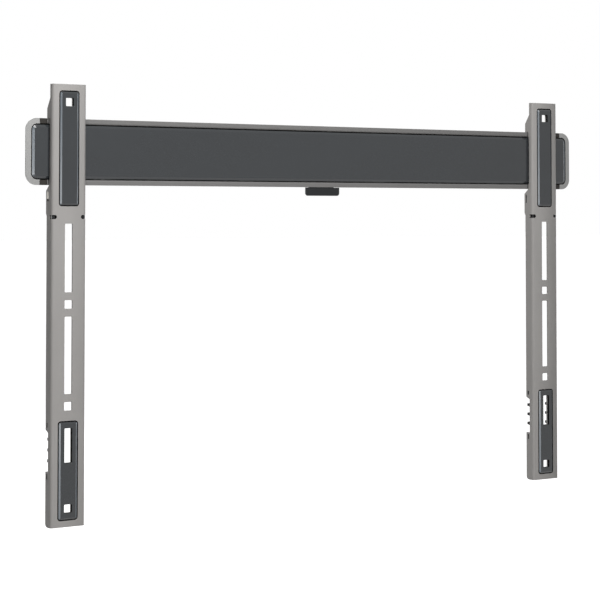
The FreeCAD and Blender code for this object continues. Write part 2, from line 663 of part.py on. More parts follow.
# Each pad's recess and its studs, as heights of its top, its lower end and the studs.
PADS = {
    "upper": ("upper_recess_top", UPPER_PAD_END, ("-upper_stud_high", "-upper_stud_low")),
    "lower": (f"{BOTTOM_HOLE} + lower_recess_top", f"{BOTTOM_HOLE} - lower_recess_end",
              (f"{BOTTOM_HOLE} + lower_stud_high", f"{BOTTOM_HOLE} + lower_stud_low")),
}
HOOK_FRONT = "(arm_stand + rail_gauge + hook_play)"
HOOK_BACK = f"({HOOK_FRONT} + hook_width)"
HOOK_TIP = f"({LIP_TOP} - hook_grip)"
LATCH_FRONT = "(arm_stand + rail_gauge + latch_gap)"
LATCH_BACK = f"({LATCH_FRONT} + latch_gauge)"
SIDE_LATCH = f"({LATCH_BACK} + latch_cover)"
NOTCH_LEVEL = f"({LIP_LOW} - notch_drop)"
NOTCH_INNER = "(arm_width / 2 - notch_bite)"
PRESSED_BACK = "(recess_depth + arm_gauge)"
WINDOW = {
    "front": f"({LATCH_FRONT} - window_fore)", "back": f"({LATCH_BACK} + window_aft)",
    "top": f"({LIP_LOW} - window_top)", "end": f"({LIP_LOW} - window_end)",
}


def flange_cut():
    """What the side outline leaves off the two flanges, as corners in depth and height."""
    past = f"{SIDE_LATCH} + overrun"
    over_cover = "arm_stand - cover_proud - cover_play"
    lead = f"{LIP_LOW} - lead_start"
    comb_top = f"{BOTTOM_HOLE} + comb_top"
    comb_end = f"{BOTTOM_HOLE} + comb_end"
    edge = [
        ("side_top", f"{ARM_TOP} + overrun"), ("side_top", f"{LIP_TOP} + ramp_start"),
        (HOOK_BACK, f"{LIP_TOP} + ramp_end"), (HOOK_BACK, HOOK_TIP), (HOOK_FRONT, HOOK_TIP),
        (HOOK_FRONT, LIP_TOP), ("arm_stand", LIP_TOP), ("arm_stand", MOUTH_TOP), (over_cover, MOUTH_TOP),
        (over_cover, MOUTH_LOW), ("arm_stand", MOUTH_LOW), ("arm_stand", lead),
        (SIDE_LATCH, f"{lead} - lead_drop"), (SIDE_LATCH, f"{LIP_LOW} - taper_top"),
        ("side_plain", f"{LIP_LOW} - taper_end"), ("side_plain", comb_top),
        ("side_comb", f"{comb_top} - comb_ramp"), ("side_comb", comb_end), ("side_plain", comb_end),
        ("side_plain", f"{ARM_LOW} - overrun"),
    ]
    return edge + [(past, f"{ARM_LOW} - overrun"), (past, f"{ARM_TOP} + overrun")]


def arm_channel(doc, label, side):
    """Folded arm: hooked flanges, pressed pad recesses, screen holes, notches and clip windows."""
    body = new_body(doc, label)
    half = "arm_width / 2"
    section = [
        (f"-{half}", "0"), (half, "0"), (half, SIDE_LATCH), (INNER_HALF, SIDE_LATCH),
        (INNER_HALF, "arm_gauge"), (f"-{INNER_HALF}", "arm_gauge"), (f"-{INNER_HALF}", SIDE_LATCH),
        (f"-{half}", SIDE_LATCH),
    ]
    pad(body, "XY_Plane", "section", section, ARM_LOW, ARM_TOP)
    outer = [(half, "0"), (f"-{half}", "0")]
    inner = [(INNER_HALF, "arm_gauge"), (f"-{INNER_HALF}", "arm_gauge")]
    dress(body, "PartDesign::Fillet", "outer_bends", "arm_bend + arm_gauge", along(body, "Z", outer))
    dress(body, "PartDesign::Fillet", "inner_bends", "arm_bend", along(body, "Z", inner))
    cut(body, "YZ_Plane", "flange_outline", flange_cut(), f"-{half} - overrun", f"{half} + overrun")
    foot = [("side_plain", ARM_LOW)]
    finger = [(HOOK_BACK, HOOK_TIP), (HOOK_FRONT, HOOK_TIP)]
    dress(body, "PartDesign::Fillet", "foot_corners", "side_corner", along(body, "X", foot))
    dress(body, "PartDesign::Fillet", "hook_corners", "hook_round", along(body, "X", finger))

    def recesses(sketch, widen):
        for top, end, _ in PADS.values():
            reach = f"recess_width / 2 + {widen}"
            outline(sketch, rectangle(f"-({reach})", f"{end} - {widen}", reach, f"{top} + {widen}",
                                      f"recess_corner + {widen}"))
    pad(body, "XZ_Plane", "pressed_backs", lambda sketch: recesses(sketch, "recess_wall"),
        "arm_gauge", PRESSED_BACK)
    cut(body, "XZ_Plane", "recesses", lambda sketch: recesses(sketch, "0"), "-overrun", "recess_depth")

    def screen_holes(sketch):
        for level in SQUARE_HOLES:
            outline(sketch, centred("0", level, "hole_side", "hole_side", "hole_corner"))
        for top, end in LONG_SLOTS:
            outline(sketch, rectangle("-slot_width / 2", end, "slot_width / 2", top, "hole_corner"))
        for _, _, studs in PADS.values():
            for level in studs:
                circle(sketch, "0", level, "stud_radius + stud_play")
    cut(body, "XZ_Plane", "screen_holes", screen_holes, "-overrun", f"{PRESSED_BACK} + overrun")

    def notches(sketch):
        length = f"{half} - {NOTCH_INNER} + 2 * overrun"
        for sign in (-1, 1):
            obround(sketch, f"{sign} * ({NOTCH_INNER} + ({length}) / 2)", NOTCH_LEVEL, length,
                    "notch_height")
    cut(body, "XZ_Plane", "notches", notches, "-overrun", "notch_depth")
    near_flange = (f"{INNER_HALF} - overrun", f"{half} + overrun")
    far_flange = (f"-{half} - overrun", f"-{INNER_HALF} + overrun")
    latch_side, guide_side = (near_flange, far_flange) if side > 0 else (far_flange, near_flange)
    cut(body, "YZ_Plane", "latch_window", rectangle(
        WINDOW["front"], WINDOW["end"], WINDOW["back"], WINDOW["top"], "hole_corner"), *latch_side)
    cut(body, "YZ_Plane", "guide_slot", rectangle(
        LATCH_FRONT, WINDOW["end"], LATCH_BACK, WINDOW["top"]), *guide_side)

    def clip_windows(sketch):
        for top, end in CLIP_WINDOWS:
            outline(sketch, rectangle("clip_front", end, "clip_back", top))
    cut(body, "YZ_Plane", "clip_windows", clip_windows, f"-{half} - overrun", f"{half} + overrun")
    return place_on_arm(body, side)


def arm_pad(doc, label, side, which):
    """Bevelled pad in a pressed recess, with holes over the screen holes and two studs behind."""
    body = new_body(doc, label)
    top, end, studs = PADS[which]
    reach = "recess_width / 2 - pad_gap"
    slab = rectangle(f"-({reach})", f"{end} + pad_gap", reach, f"{top} - pad_gap", "recess_corner - pad_gap")
    pad(body, "XZ_Plane", "slab", slab, "-pad_proud", "recess_depth")
    dress(body, "PartDesign::Chamfer", "bevel", "pad_proud", in_plane(body, "Y", "-pad_proud"), "pad_bevel")

    def holes(sketch):
        level = "0" if which == "upper" else BOTTOM_HOLE
        outline(sketch, centred("0", level, "hole_side", "hole_side", "hole_corner"))
        if which == "lower":
            slot_top, slot_end = PAD_SLOT
            outline(sketch, rectangle("-slot_width / 2", slot_end, "slot_width / 2", slot_top, "hole_corner"))
    cut(body, "XZ_Plane", "holes", holes, "-pad_proud - overrun", "recess_depth + overrun")

    def pins(sketch):
        for level in studs:
            circle(sketch, "0", level, "stud_radius")
    pin_end = "arm_stand - cover_proud - cover_play"
    pad(body, "XZ_Plane", "studs", pins, "recess_depth", pin_end)
    dress(body, "PartDesign::Chamfer", "stud_ends", "stud_radius / 4", in_plane(body, "Y", pin_end))
    return place_on_arm(body, side)


def comb_insert(doc, label, side):
    """Toothed insert behind the lower pad, clipped into the flanges' small windows."""
    body = new_body(doc, label)
    outer = f"({INNER_HALF} - inner_play)"
    inner = f"({outer} - rack_bar)"
    frame_top = f"({BOTTOM_HOLE} + rack_top)"
    frame_low = f"({BOTTOM_HOLE} + rack_end)"
    pad(body, "XZ_Plane", "frame", rectangle(f"-{outer}", frame_low, outer, frame_top),
        PRESSED_BACK, "rack_low")
    cut(body, "XZ_Plane", "opening", rectangle(
        f"-{inner}", f"{frame_low} + rack_bridge_end", inner, f"{frame_top} - rack_bridge_top"),
        f"{PRESSED_BACK} - overrun", "rack_low + overrun")
    for name, low, top in (("upper_end", f"{frame_top} - rack_bridge_top", frame_top),
                           ("lower_end", frame_low, f"{frame_low} + rack_bridge_end")):
        def blocks(sketch):
            for sign in (-1, 1):
                outline(sketch, rectangle(f"{sign} * {inner}", low, f"{sign} * {outer}", top))
        pad(body, "XZ_Plane", name, blocks, "rack_low", "rack_high")
    foot = "recess_width / 2 + recess_wall + snap_gap"

    def feet(sketch):
        for sign in (-1, 1):
            outline(sketch, rectangle(
                f"{sign} * ({foot})", frame_low, f"{sign} * {BEND_CLEAR}", frame_top))
    pad(body, "XZ_Plane", "feet", feet, "arm_gauge", PRESSED_BACK)
    face = f"({INNER_HALF} + arm_gauge - clip_sunk)"

    def clips(sketch):
        for top, end in CLIP_WINDOWS:
            for sign in (-1, 1):
                outline(sketch, rectangle(f"{sign} * {outer}", f"{end} + clip_play",
                                          f"{sign} * {face}", f"{top} - clip_play"))
    pad(body, "XZ_Plane", "clips", clips, "clip_front + clip_play", "clip_back - clip_play")
    level = f"{BOTTOM_HOLE} + tooth_first"
    tooth = [
        ("rack_low", f"{level} - tooth_root / 2"), ("tooth_depth", f"{level} - tooth_tip / 2"),
        ("tooth_depth", f"{level} + tooth_tip / 2"), ("rack_low", f"{level} + tooth_root / 2"),
    ]
    near_tooth = pad(body, "YZ_Plane", "near_tooth", tooth, inner, outer)
    far_tooth = pad(body, "YZ_Plane", "far_tooth", tooth, f"-{outer}", f"-{inner}")
    row = body.newObject("PartDesign::LinearPattern", "teeth")
    row.Originals = [near_tooth, far_tooth]
    axis = next(item for item in body.Origin.OriginFeatures if item.Role == "Z_Axis")
    row.Direction = (axis, [""])
    row.Reversed = True
    row.setExpression("Length", named("tooth_pitch * (tooth_count - 1)"))
    row.setExpression("Occurrences", named("tooth_count"))
    body.Tip = row
    doc.recompute()
    return place_on_arm(body, side)


GUIDE_OUTER = f"({INNER_HALF} - inner_play)"
GUIDE_GROOVE = f"({GUIDE_OUTER} - guide_side)"
GUIDE_TOP = f"({LIP_LOW} - guide_top)"
GUIDE_END = f"({LIP_LOW} - guide_end)"
GUIDE_PLATE = f"({PRESSED_BACK} + guide_floor)"
GUIDE_BACK = f"({LATCH_BACK} + latch_play + guide_lip)"
LATCH_END = f"({LIP_LOW} - latch_end)"
SPRING_AXIS = f"({GUIDE_PLATE} + inner_play + spring_wire + spring_radius)"
SPRING_SEAT = f"({GUIDE_END} + guide_foot)"


def latch_guide(doc, label, side):
    """Moulded guide inside the arm: grooves for the latch, a spring seat, and snaps in the notches."""
    body = new_body(doc, label)
    plate = rectangle(f"-{GUIDE_OUTER}", GUIDE_END, GUIDE_OUTER, GUIDE_TOP)
    pad(body, "XZ_Plane", "plate", plate, PRESSED_BACK, GUIDE_PLATE)
    side_end = f"{NOTCH_LEVEL} + notch_height"
    for sign, name in ((-1, "left_side"), (1, "right_side")):
        wall = f"{sign} * {GUIDE_OUTER}"
        groove = f"{sign} * {GUIDE_GROOVE}"
        ledge = f"{sign} * ({GUIDE_GROOVE} - guide_ledge)"
        profile = [
            (wall, GUIDE_PLATE), (wall, GUIDE_BACK), (ledge, GUIDE_BACK),
            (ledge, f"{LATCH_BACK} + latch_play"), (groove, f"{LATCH_BACK} + latch_play"),
            (groove, f"{LATCH_FRONT} - latch_play"), (ledge, f"{LATCH_FRONT} - latch_play"),
            (ledge, GUIDE_PLATE),
        ]
        pad(body, "XY_Plane", name, profile, side_end, GUIDE_TOP)
    foot = rectangle("-guide_foot_half", GUIDE_PLATE, "guide_foot_half", GUIDE_BACK)
    pad(body, "XY_Plane", "foot", foot, GUIDE_END, SPRING_SEAT)
    outer = (f"{side} * ({GUIDE_GROOVE} - overrun)", f"{side} * ({GUIDE_OUTER} + overrun)")
    span = outer if side > 0 else outer[::-1]
    cut(body, "YZ_Plane", "ear_way", rectangle(
        WINDOW["front"], WINDOW["end"], f"{GUIDE_BACK} + overrun", f"{GUIDE_TOP} + overrun"), *span)
    inner = (f"{-side} * {GUIDE_OUTER}", f"{-side} * ({INNER_HALF} + arm_gauge - clip_sunk)")
    span = inner if side < 0 else inner[::-1]
    clip = rectangle(f"{LATCH_FRONT} + clip_play", f"{WINDOW['end']} + clip_play",
                     f"{LATCH_BACK} - clip_play", f"{WINDOW['top']} - clip_play")
    pad(body, "YZ_Plane", "flange_clip", clip, *span)
    heel_top = f"{UPPER_PAD_END} - recess_wall - snap_gap"
    heel = rectangle(f"-{BEND_CLEAR}", GUIDE_END, BEND_CLEAR, heel_top)
    pad(body, "XZ_Plane", "heel", heel, "arm_gauge", PRESSED_BACK)

    inner = f"({NOTCH_INNER} + notch_height / 2)"
    outer = "(arm_width / 2 - snap_short)"

    def snaps(sketch):
        for sign in (-1, 1):
            outline(sketch, centred(
                f"{sign} * ({inner} + {outer}) / 2", NOTCH_LEVEL, f"{outer} - {inner}",
                "notch_height - 2 * clip_play"))
    pad(body, "XZ_Plane", "snaps", snaps, "snap_sunk", "arm_gauge")
    return place_on_arm(body, side)


def latch(doc, label, side):
    """Pressed latch: a sloped nose behind the lower lip, an ear in the window, a foot on the spring."""
    body = new_body(doc, label)
    reach = f"({GUIDE_GROOVE} - latch_play)"
    nose = "latch_nose / 2"
    nose_top = f"({LIP_LOW} + latch_grip)"
    plate = [
        (f"-{reach}", LATCH_END), (reach, LATCH_END), (reach, GUIDE_TOP), (nose, GUIDE_TOP),
        (nose, nose_top), (f"-{nose}", nose_top), (f"-{nose}", GUIDE_TOP), (f"-{reach}", GUIDE_TOP),
    ]
    pad(body, "XZ_Plane", "plate", plate, LATCH_FRONT, LATCH_BACK)
    slope_start = f"{LATCH_FRONT} + latch_gauge / 4"
    wedge = [
        (LATCH_BACK, f"{nose_top} - latch_bevel"), (f"{LATCH_BACK} + overrun", f"{nose_top} - latch_bevel"),
        (f"{LATCH_BACK} + overrun", f"{nose_top} + overrun"), (slope_start, f"{nose_top} + overrun"),
        (slope_start, nose_top),
    ]
    cut(body, "YZ_Plane", "nose_slope", wedge, f"-{nose} - overrun", f"{nose} + overrun")
    foot = rectangle("-foot_width / 2", LATCH_END, "foot_width / 2", f"{LATCH_END} + foot_gauge")
    pad(body, "XZ_Plane", "foot", foot, f"{GUIDE_PLATE} + foot_gap", LATCH_FRONT)
    ear_top = f"{WINDOW['top']} - ear_play"
    ear_low = f"{ear_top} - ear_height"
    face = f"({INNER_HALF} + arm_gauge)"
    arm = (f"{side} * ({reach} - overrun)", f"{side} * {face}")
    span = arm if side > 0 else arm[::-1]
    pad(body, "YZ_Plane", "ear_arm", rectangle(LATCH_FRONT, ear_low, LATCH_BACK, ear_top), *span)
    tab = (f"{side} * ({face} - ear_gauge)", f"{side} * {face}")
    span = tab if side > 0 else tab[::-1]
    pad(body, "YZ_Plane", "ear", rectangle(
        f"{WINDOW['front']} + latch_play", ear_low, f"{WINDOW['back']} - latch_play", ear_top,
        "hole_corner"), *span)
    cut(body, "XZ_Plane", "cord_hole", lambda sketch: circle(
        sketch, "0", f"{GUIDE_TOP} - cord_drop", "cord_hole"),
        f"{LATCH_FRONT} - overrun", f"{LATCH_BACK} + overrun")
    return place_on_arm(body, side)


def latch_spring(doc, label, side):
    """Coil spring of six-sided wire between the guide's foot and the latch's foot."""
    body = new_body(doc, label)
    low = f"{SPRING_SEAT} + spring_play + spring_wire"
    high = f"{LATCH_END} - spring_play - spring_wire"
    section = new_sketch(body, "XZ_Plane", "wire", SPRING_AXIS)
    flat = "spring_wire * sqrt(3) / 2"
    near_side = "spring_radius - spring_wire / 2"
    far_side = "spring_radius + spring_wire / 2"
    outline(section, [
        (near_side, f"{low} - {flat}"), (far_side, f"{low} - {flat}"), ("spring_radius + spring_wire", low),
        (far_side, f"{low} + {flat}"), (near_side, f"{low} + {flat}"), ("spring_radius - spring_wire", low),
    ])
    coil = body.newObject("PartDesign::AdditiveHelix", "coil")
    coil.Profile = section
    coil.ReferenceAxis = (section, ["V_Axis"])
    coil.Mode = "height-turns-angle"
    coil.setExpression("Height", named(f"({high}) - ({low})"))
    coil.setExpression("Turns", named("spring_turns"))
    doc.recompute()
    return place_on_arm(body, side)


def turn_round(body):
    """Swap a piece end for end along the rail."""
    body.Placement = FreeCAD.Placement(FreeCAD.Vector(0, 0, 0), FreeCAD.Rotation(FreeCAD.Vector(0, 1, 0), 180))
    return body


def build(doc):
    """Make every sub-part."""
    bodies = [wall_rail(doc), rail_cover(doc), centre_tab(doc)]
    bodies += [end_cap(doc, "end_cap_right"), end_stop(doc, "end_stop_right")]
    bodies += [turn_round(end_cap(doc, "end_cap_left")), turn_round(end_stop(doc, "end_stop_left"))]
    for word, side in (("left", -1), ("right", 1)):
        bodies.append(arm_channel(doc, f"arm_{word}", side))
        bodies.append(arm_pad(doc, f"upper_pad_{word}", side, "upper"))
        bodies.append(arm_pad(doc, f"lower_pad_{word}", side, "lower"))
        bodies.append(comb_insert(doc, f"comb_insert_{word}", side))
        bodies.append(latch_guide(doc, f"latch_guide_{word}", side))
        bodies.append(latch(doc, f"latch_{word}", side))
        bodies.append(latch_spring(doc, f"latch_spring_{word}", side))
    doc.recompute()
    return bodies


def check(doc, bodies):
    """Stop if any object failed or any shape is missing or broken."""
    for item in doc.Objects:
        if any(word in item.State for word in ("Invalid", "Error")):
            raise RuntimeError(f"{item.Label} is {item.State}")
    for body in bodies:
        shape = body.Shape
        if shape.isNull() or not shape.isValid() or len(shape.Solids) != 1:
            raise RuntimeError(f"{body.Label} is not one sound solid")


def main():
    doc = FreeCAD.newDocument("wall_bracket")
    write_sheet(doc)
    bodies = build(doc)
    check(doc, bodies)
    os.makedirs("parts", exist_ok=True)
    for body in bodies:
        body.Shape.exportStep(os.path.join("parts", body.Label + ".step"))
        print(f"{body.Label}: {body.Shape.Volume:.1f} cubic mm")


main()
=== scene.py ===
"""Looks, stage and camera for a slim fixed wall bracket.

Lengths are in metres unless a name ends in _mm, and angles in radians unless it ends in _deg.
"""
import math
from typing import NamedTuple

import bpy
import numpy as np
from bpy.props import FloatProperty, FloatVectorProperty, IntProperty, PointerProperty
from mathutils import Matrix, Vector


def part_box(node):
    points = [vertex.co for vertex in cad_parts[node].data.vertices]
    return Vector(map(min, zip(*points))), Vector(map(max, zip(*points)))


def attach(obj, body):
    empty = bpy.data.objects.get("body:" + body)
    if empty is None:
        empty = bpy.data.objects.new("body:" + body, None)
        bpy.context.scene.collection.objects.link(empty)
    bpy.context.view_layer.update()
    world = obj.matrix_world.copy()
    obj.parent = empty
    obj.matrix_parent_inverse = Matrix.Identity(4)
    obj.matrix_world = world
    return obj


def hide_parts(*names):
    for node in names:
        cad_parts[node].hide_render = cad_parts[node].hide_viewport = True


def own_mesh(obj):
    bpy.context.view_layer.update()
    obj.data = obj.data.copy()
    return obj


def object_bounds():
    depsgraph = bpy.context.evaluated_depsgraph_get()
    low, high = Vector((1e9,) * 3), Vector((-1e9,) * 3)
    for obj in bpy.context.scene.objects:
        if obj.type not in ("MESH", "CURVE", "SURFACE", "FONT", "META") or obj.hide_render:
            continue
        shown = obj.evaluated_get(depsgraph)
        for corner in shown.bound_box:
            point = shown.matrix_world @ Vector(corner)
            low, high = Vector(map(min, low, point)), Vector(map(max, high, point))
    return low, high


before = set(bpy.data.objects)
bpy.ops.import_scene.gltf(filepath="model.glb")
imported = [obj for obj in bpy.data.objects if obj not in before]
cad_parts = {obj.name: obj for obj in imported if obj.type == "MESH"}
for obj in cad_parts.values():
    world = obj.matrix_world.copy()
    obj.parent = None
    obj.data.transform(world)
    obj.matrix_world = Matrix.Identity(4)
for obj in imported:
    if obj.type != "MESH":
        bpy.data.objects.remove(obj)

bl_info = {
    "name": "Fixed Wall Bracket",
    "version": (1, 0, 0),
    "blender": (4, 5, 0),
    "location": "3D View > Sidebar > Bracket",
    "description": "Finishes, springs, studio and camera for a slim fixed wall bracket",
    "category": "Add Mesh",
}

CAD_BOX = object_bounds()
SIDES = ("left", "right")
MM = 0.001
# The bow of an arm's front, in metres of fall for each square metre off its middle.
CROWN_FALL = -10.0
# Black that is painted in as shade where crevices, recesses and gaps between parts shut a surface in.
PAINTED_SHADE_BLACK = (0.002, 0.002, 0.002, 1.0)
WHITE = (1.0, 1.0, 1.0, 1.0)
# What sets the cover and the pads apart from the plain mouldings: more gloss, and a painted highlight on
# their upright bevels.
GLOSS_AND_BEVEL_HIGHLIGHT = {"gloss": 0.60, "bevel_highlight": 7.0}
FLOOR_REACH = 30.0
SENSOR_WIDTH_MM = 36.0


def colour(name, value, description):
    return FloatVectorProperty(name=name, description=description, subtype="COLOR", size=3, min=0.0,
                               max=1.0, default=value)


def length(name, value, description):
    return FloatProperty(name=name, description=description, subtype="DISTANCE", unit="LENGTH",
                         default=value)


def share(name, value, description):
    return FloatProperty(name=name, description=description, subtype="FACTOR", min=0.0, max=1.0,
                         default=value)


def angle(name, degrees, description):
    return FloatProperty(name=name, description=description, subtype="ANGLE",
                         default=math.radians(degrees))


def count(name, value, low, high, description):
    return IntProperty(name=name, description=description, min=low, max=high, default=value)


class BracketFinishes(bpy.types.PropertyGroup):
    """Colours and gloss of the bracket's finishes."""
    arm_paint: colour("Arm paint", (0.258, 0.250, 0.243), "Powder coat of the two arms")
    rail_paint: colour("Rail paint", (0.134, 0.132, 0.130), "Powder coat of the wall rail")
    paint_roughness: share("Paint roughness", 0.44, "Roughness of the powder coat")
    anthracite: colour("Anthracite", (0.0150, 0.0175, 0.0200), "Cover and pads")
    cover_roughness: share("Cover roughness", 0.17, "Roughness of the cover")
    pad_roughness: share("Pad roughness", 0.15, "Roughness of the pads")
    cap_grey: colour("Cap grey", (0.25, 0.25, 0.247), "End caps")
    tab_grey: colour("Tab grey", (0.009, 0.010, 0.011), "Centre tab")
    stop_brown: colour("Stop brown", (0.019, 0.017, 0.015), "End stops")
    black: colour("Black", (0.008, 0.008, 0.009), "Comb inserts and latch guides")
    zinc: colour("Zinc", (0.40, 0.385, 0.36), "Plated latches")
    wire: colour("Wire", (0.55, 0.55, 0.55), "Springs")


class BracketSprings(bpy.types.PropertyGroup):
    """Sizes of the latch springs."""
    wire: length("Wire", 0.70 * MM, "Diameter of the spring wire")
    turns: count("Turns", 7, 3, 12, "Turns of each spring, closed ends included")
    closed: share("Closed share", 0.16, "Share of the turns that lie closed at each end")
    steps: count("Steps", 36, 12, 96, "Steps along each turn")
    ring: count("Ring", 12, 6, 32, "Points round the wire")


class BracketStage(bpy.types.PropertyGroup):
    """Camera, floor and surroundings."""
    lens_mm: FloatProperty(name="Lens", description="Focal length in millimetres",
                           subtype="DISTANCE_CAMERA", unit="CAMERA", default=106.09)
    shift_up: FloatProperty(name="Shift", description="Vertical lens shift", default=-0.2555)
    camera_place: FloatVectorProperty(name="Camera place", description="Camera's place",
                                      subtype="TRANSLATION", unit="LENGTH",
                                      default=(-1.01136, -1.6431, -0.0588))
    camera_azimuth: angle("Camera azimuth", -31.227, "Camera's turn round the bracket")
    camera_elevation: angle("Camera elevation", -2.090, "Camera's height above the horizon")
    floor_drop: length("Floor drop", 0.26, "Bracket's lowest point to the floor")
    ambient: share("Ambient", 0.04, "Light of the surroundings on matt surfaces")


class Lamp(NamedTuple):
    """A soft rectangular lamp, by its direction from the bracket's middle, which it faces."""
    name: str
    azimuth_deg: float
    elevation_deg: float
    distance: float
    width: float
    height: float
    watts: float
    tint: tuple = (1.0, 1.0, 1.0)


LAMPS = (
    Lamp("key_panel", azimuth_deg=-19.0, elevation_deg=38.0, distance=1.25,
         width=0.5, height=0.5, watts=19.3),
    Lamp("left_panel", azimuth_deg=-42.0, elevation_deg=-3.5, distance=2.5,
         width=1.2, height=0.7, watts=15.0, tint=(1.0, 0.985, 0.965)),
    Lamp("right_strip", azimuth_deg=98.0, elevation_deg=0.0, distance=2.2,
         width=0.5, height=1.2, watts=5.0),
    Lamp("rear_panel", azimuth_deg=178.0, elevation_deg=30.0, distance=3.0,
         width=1.8, height=1.2, watts=55.0),
)


def pick(group):
    """The scene's own settings of one group."""
    return getattr(bpy.context.scene, group)


def rgba(three, factor=1.0):
    return tuple(min(1.0, part * factor) for part in three) + (1.0,)


class Nodes:
    """Short ways to add and join the nodes of one tree."""

    def __init__(self, tree):
        self.tree = tree

    def feed(self, socket, value):
        """Join an output to a node's input, or set the input's own value."""
        if isinstance(value, bpy.types.NodeSocket):
            self.tree.links.new(value, socket)
        else:
            socket.default_value = value

    def node(self, kind, inputs=None, **settings):
        made = self.tree.nodes.new(kind)
        for key, value in settings.items():
            setattr(made, key, value)
        for key, value in (inputs or {}).items():
            self.feed(made.inputs[key], value)
        return made

    def maths(self, operation, first, second=0.0):
        return self.node("ShaderNodeMath", {0: first, 1: second}, operation=operation).outputs[0]

    def spread(self, source, low, high, start=0.3, stop=0.7):
        """Carry a value from the range start to stop, to the range low to high."""
        return self.node("ShaderNodeMapRange", {
            "Value": source, "From Min": start, "From Max": stop, "To Min": low, "To Max": high,
        }).outputs["Result"]

    def blend(self, share_of_second, first, second):
        """Mix two colours."""
        inputs = {0: share_of_second, 6: first, 7: second}
        return self.node("ShaderNodeMix", inputs, data_type="RGBA").outputs[2]

    def seen_directly(self):
        """1 for camera, glossy and transmission rays, else 0."""
        path = self.node("ShaderNodeLightPath").outputs
        seen = self.maths("MAXIMUM", path["Is Camera Ray"], path["Is Glossy Ray"])
        return self.maths("MAXIMUM", seen, path["Is Transmission Ray"])


class Finish(Nodes):
    """A material being made: its node tree and its shader."""

    def __init__(self, name):
        self.material = bpy.data.materials.new(name)
        self.material.use_nodes = True
        super().__init__(self.material.node_tree)
        self.shader = self.tree.nodes["Principled BSDF"]
        own = self.node("ShaderNodeTexCoord").outputs
        self.place = own["Object"]
        self.facing = own["Normal"]

    def noise(self, grain_mm, detail=2.0, squeeze=(1.0, 1.0, 1.0)):
        """Noise whose cells are about grain_mm across, and longer along an axis squeezed below 1."""
        place = self.node("ShaderNodeMapping", {"Vector": self.place, "Scale": squeeze}).outputs["Vector"]
        return self.node("ShaderNodeTexNoise", {
            "Vector": place, "Scale": 1.0 / (grain_mm * MM), "Detail": detail,
        }).outputs["Fac"]

    def edges(self, radius_mm):
        """(normal rounded over the edges, 0 to 1 mask that is 1 on an edge)."""
        rounded = self.node("ShaderNodeBevel", {"Radius": radius_mm * MM}, samples=4).outputs["Normal"]
        flat = self.node("ShaderNodeNewGeometry").outputs["Normal"]
        likeness = self.node("ShaderNodeVectorMath", {0: rounded, 1: flat}, operation="DOT_PRODUCT")
        return rounded, self.spread(likeness.outputs["Value"], 1.0, 0.0, start=0.80, stop=0.985)

    def unshaded_share(self, reach_mm):
        """Near 0 where other surfaces within reach_mm shut a surface in, and 1 in the open; the finishes
        paint shade by it, black in crevices and gaps between parts.
        """
        found = self.node("ShaderNodeAmbientOcclusion", {"Distance": reach_mm * MM}, samples=8)
        return self.spread(found.outputs["AO"], 0.03, 1.0, start=0.42, stop=0.86)

    def leaning(self, axis, start, stop):
        """0 to 1 as the part of the surface's normal along one axis goes from start to stop."""
        part = self.node("ShaderNodeSeparateXYZ", {"Vector": self.facing}).outputs[axis]
        return self.spread(self.maths("ABSOLUTE", part), 0.0, 1.0, start, stop)

    def bump(self, height, depth_mm, normal=None):
        inputs = {"Height": height, "Strength": 1.0, "Distance": depth_mm * MM}
        if normal is not None:
            inputs["Normal"] = normal
        return self.node("ShaderNodeBump", inputs).outputs["Normal"]

    def set(self, **inputs):
        """Set or join the shader's own sockets. Underscores in a name stand for spaces."""
        for key, value in inputs.items():
            self.feed(self.shader.inputs[key.replace("_", " ")], value)
        return self.material


def powder_coat(name, paint, gloss=0.12, crown_at=None):
    """Silver-grey powder coat: fine orange peel, faint flake, thin bright scuffed lines along the edges.

    crown_at is how far from the middle of the bracket a folded arm's own middle is. The front of the
    arm bows out a little there, and the bump falls off with the square of the distance from it.
    """
    roughness = pick("bracket_finishes").paint_roughness
    made = Finish(name)
    peel = made.noise(grain_mm=0.55, detail=3.0)
    flake = made.spread(made.noise(grain_mm=0.16, detail=1.0), 0.0, 0.35, start=0.55, stop=0.75)
    cloud = made.spread(made.noise(grain_mm=38.0, detail=3.0, squeeze=(1.0, 1.0, 0.5)), 0.0, 1.0)
    scuffs = made.spread(made.noise(grain_mm=1.6, detail=4.0), 0.0, 0.55, start=0.45, stop=0.70)
    smears = made.noise(grain_mm=6.0, detail=3.0)
    rounded, rim = made.edges(radius_mm=0.35)
    unshaded = made.unshaded_share(reach_mm=2.8)
    tone = made.blend(cloud, rgba(paint, 0.965), rgba(paint, 1.035))
    tone = made.blend(flake, tone, rgba(paint, 1.22))
    tone = made.blend(made.maths("MULTIPLY", rim, scuffs), tone, rgba(paint, 1.45))
    # Painted shade: where other surfaces shut the coat in, it is blended to black, and its reflection is
    # turned down below.
    tone = made.blend(unshaded, PAINTED_SHADE_BLACK, tone)
    if crown_at is not None:
        across = made.node("ShaderNodeSeparateXYZ", {"Vector": made.place}).outputs["X"]
        off = made.maths("SUBTRACT", made.maths("ABSOLUTE", across), crown_at)
        rounded = made.bump(made.maths("MULTIPLY", off, off), CROWN_FALL / MM, rounded)
    return made.set(Base_Color=tone, Roughness=made.spread(smears, roughness - 0.04, roughness + 0.05),
                    Normal=made.bump(peel, depth_mm=0.012, normal=rounded),
                    Specular_IOR_Level=made.maths("MULTIPLY", unshaded, gloss))


